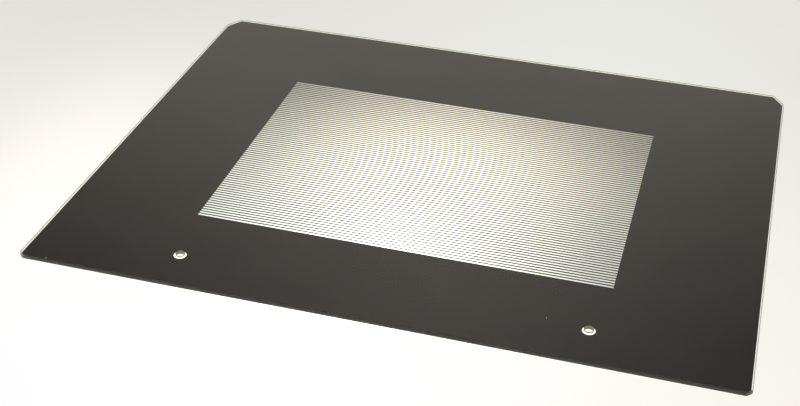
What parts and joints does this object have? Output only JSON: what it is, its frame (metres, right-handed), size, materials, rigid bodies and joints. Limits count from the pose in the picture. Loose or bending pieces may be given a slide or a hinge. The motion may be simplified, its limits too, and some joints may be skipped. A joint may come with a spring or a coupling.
{
  "type": "oven door glass",
  "caption": "Flat toughened glass pane for an oven door, with cut corners, handle screw holes and a dark printed border round a lined window.",
  "frame": {"origin": "middle of the underside, which is the printed face", "axes": "+X along the long edges, +Y from the drilled long edge to the long edge with the cut corners, +Z out of the plain polished face"},
  "size_m": [0.595, 0.476, 0.004],
  "materials": {
    "toughened_glass": "polished float glass with ground edges",
    "enamel_print": "fired ceramic enamel on the back face, opaque near black"
  },
  "bodies": {
    "root": {"door_glass": "toughened_glass"}
  },
  "joints": []
}
